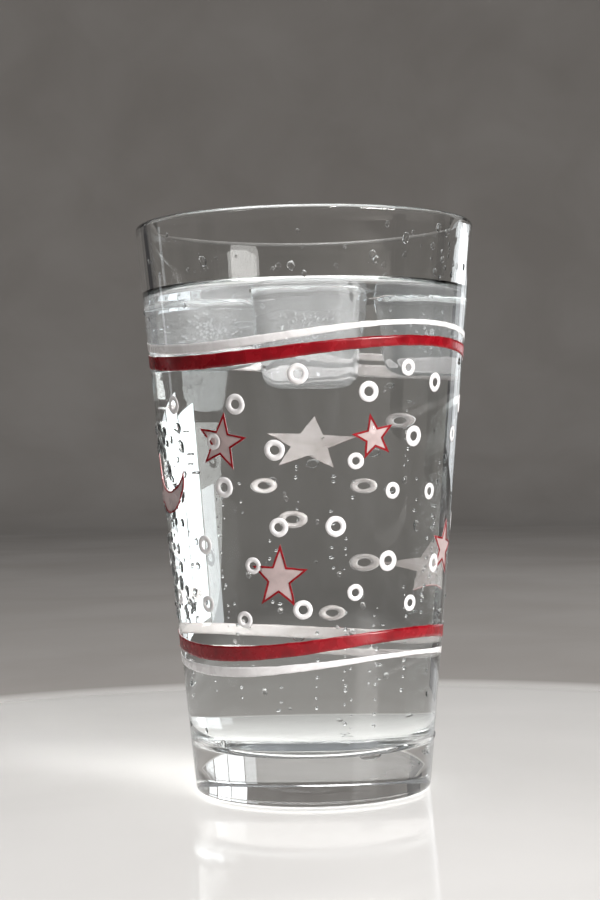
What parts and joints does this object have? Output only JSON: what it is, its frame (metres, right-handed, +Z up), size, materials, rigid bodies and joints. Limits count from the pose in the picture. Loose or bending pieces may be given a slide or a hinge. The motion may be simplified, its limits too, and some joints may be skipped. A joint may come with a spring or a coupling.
{
  "type": "printed pint glass of iced water",
  "caption": "Conical pint tumbler with wavy bands, stars, moons and rings fired on its wall, full of water with floating ice cubes that lift out.",
  "frame": {"origin": "centre of the foot, at the table", "axes": "+Z up the glass's axis through its mouth; -Y towards the person; +X to that person's right"},
  "size_m": [0.0894, 0.0894, 0.149],
  "materials": {
    "clear_glass": "polished",
    "iced_water": "still liquid",
    "ice": "wet, with a cloudy core",
    "water_drops": "liquid",
    "white_enamel": "fired enamel, semi-gloss",
    "red_enamel": "fired enamel, semi-gloss"
  },
  "bodies": {
    "glass": {"glass_body": "clear_glass", "water": "iced_water", "condensation_drops": "water_drops", "splash_drops": "water_drops", "upper_line_white": "white_enamel", "upper_band_white_base": "white_enamel", "lower_band_white_base": "white_enamel", "lower_line_white": "white_enamel", "upper_band_red": "red_enamel", "lower_band_red": "red_enamel", "star_1_white": "white_enamel", "star_1_red_outline": "red_enamel", "star_2_white": "white_enamel", "star_2_red_outline": "red_enamel", "star_3_white": "white_enamel", "star_3_red_outline": "red_enamel", "star_4_white": "white_enamel", "star_4_red_outline": "red_enamel", "star_5_white": "white_enamel", "star_5_red_outline": "red_enamel", "star_6_white": "white_enamel", "star_6_red_outline": "red_enamel", "star_7_white": "white_enamel", "star_7_red_outline": "red_enamel", "star_8_white": "white_enamel", "star_8_red_outline": "red_enamel", "moon_1_white": "white_enamel", "moon_1_red_outline": "red_enamel", "moon_2_white": "white_enamel", "moon_2_red_outline": "red_enamel", "rings_large_white": "white_enamel", "rings_medium_white": "white_enamel", "rings_small_white": "white_enamel"},
    "ice_cube_left": {"ice_cube_left": "ice"},
    "ice_cube_middle": {"ice_cube_middle": "ice"},
    "ice_cube_right": {"ice_cube_right": "ice"}
  },
  "joints": [
    {"name": "ice_cube_left_lift", "type": "slide", "parent": "glass", "child": "ice_cube_left", "axis": [0, 0, 1], "range_m": [0, 0.06]},
    {"name": "ice_cube_middle_lift", "type": "slide", "parent": "glass", "child": "ice_cube_middle", "axis": [0, 0, 1], "range_m": [0, 0.06]},
    {"name": "ice_cube_right_lift", "type": "slide", "parent": "glass", "child": "ice_cube_right", "axis": [0, 0, 1], "range_m": [0, 0.06]}
  ]
}
